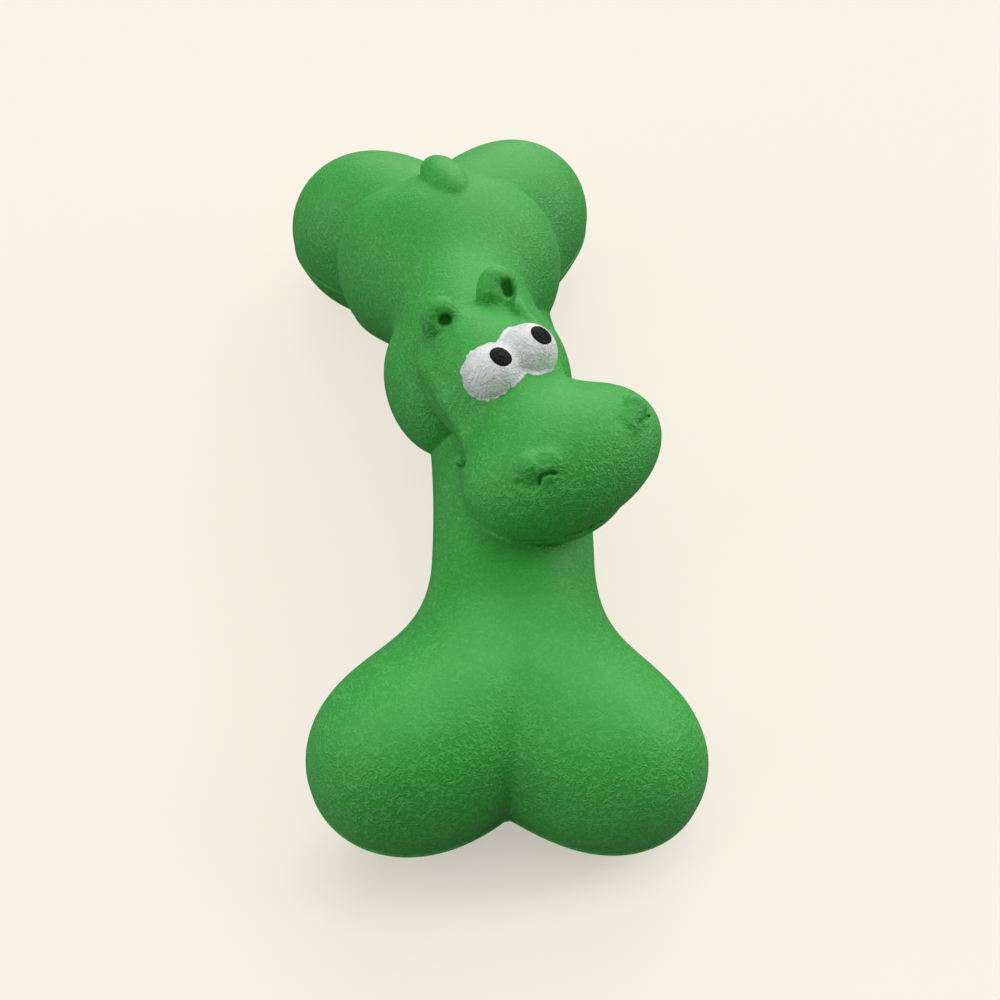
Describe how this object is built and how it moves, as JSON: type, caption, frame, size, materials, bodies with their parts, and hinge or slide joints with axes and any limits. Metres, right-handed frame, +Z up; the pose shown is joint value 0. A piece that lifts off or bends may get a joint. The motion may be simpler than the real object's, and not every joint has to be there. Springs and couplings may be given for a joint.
{
  "type": "dog toy",
  "caption": "Hollow rubber bone for a dog, with a prone hippopotamus moulded on its front and a squeaker pressed into its back.",
  "frame": {"origin": "centre of the toy's bounding box on its underside, where the bone's lobes rest", "axes": "+X across the bone, towards the side that the shaft bows and the head turns to; +Y along the bone, from the plain lobes to the rump's lobes; +Z up, from the back moulding to the hippopotamus"},
  "size_m": [0.071, 0.1678, 0.0556],
  "materials": {
    "rubber": "green latex or vinyl rubber with a fine embossed grain, satin",
    "white_paint": "thin white paint over the rubber's grain",
    "black_paint": "black paint spots, satin",
    "squeaker_plastic": "natural moulded polyethylene"
  },
  "bodies": {
    "toy": {"front_shell": "rubber", "back_shell": "rubber", "eye_white": "white_paint", "pupil_left": "black_paint", "pupil_right": "black_paint", "squeaker_housing": "squeaker_plastic", "squeaker_reed_block": "squeaker_plastic", "squeaker_reed_wedge": "squeaker_plastic"},
    "reed": {"squeaker_reed": "squeaker_plastic"}
  },
  "joints": [
    {"name": "reed_flex", "type": "hinge", "parent": "toy", "child": "reed", "pos_m": [0.00812, -0.00089, 0.0078], "axis": [0, 1, 0], "range_deg": [-3, 4], "stiffness_Nm_per_rad": 0.0005}
  ]
}
